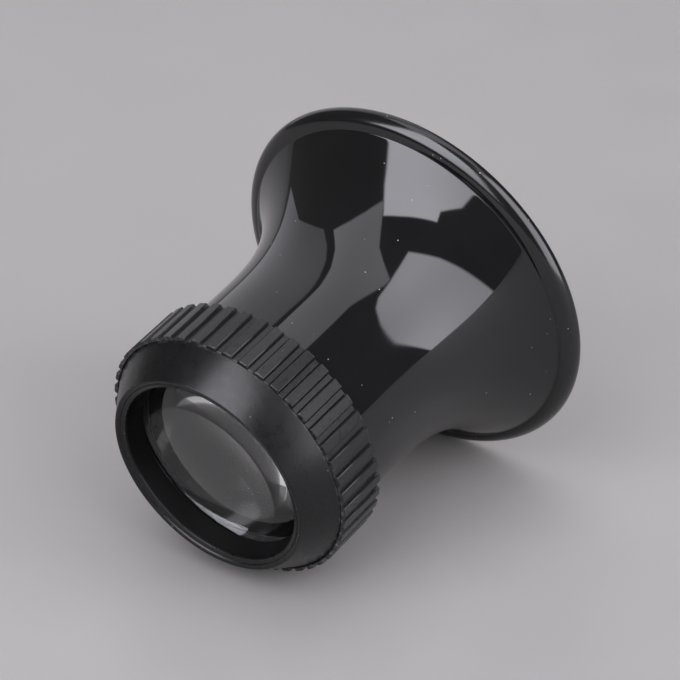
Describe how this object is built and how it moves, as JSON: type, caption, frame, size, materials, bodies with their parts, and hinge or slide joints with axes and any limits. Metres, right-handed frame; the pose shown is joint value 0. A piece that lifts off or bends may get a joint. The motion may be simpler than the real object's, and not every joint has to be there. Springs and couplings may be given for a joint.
{
  "type": "watchmaker loupe",
  "caption": "Eye loupe with a flared eyecup, a threaded neck, a knurled screw cap and a biconvex lens that rises with the cap as it is unscrewed",
  "frame": {"origin": "centre of the eye rim's flat, on the plane that the loupe stands on", "axes": "+Z is the optical axis, from the eye rim to the lens; the loupe is round about it, so X and Y are free"},
  "size_m": [0.044, 0.044, 0.0381],
  "materials": {
    "gloss_black": "polished moulding",
    "satin_black": "satin moulding",
    "clear_lens": "polished",
    "ring_black": "matt moulding"
  },
  "bodies": {
    "eyecup": {"eyecup": "gloss_black"},
    "lens": {"lens": "clear_lens"},
    "cap": {"screw_cap": "satin_black", "retaining_ring": "ring_black"}
  },
  "joints": [
    {"name": "cap_rise", "type": "slide", "parent": "eyecup", "child": "lens", "axis": [0, 0, 1], "range_m": [0, 0.003]},
    {"name": "cap_turn", "type": "hinge", "parent": "lens", "child": "cap", "pos_m": [0, 0, 0.0281], "axis": [0, 0, 1], "range_deg": [0, 1080]}
  ],
  "couplings": [
    {"joint": "cap_rise", "follows": "cap_turn", "m_per_rad": 0.00015915}
  ]
}
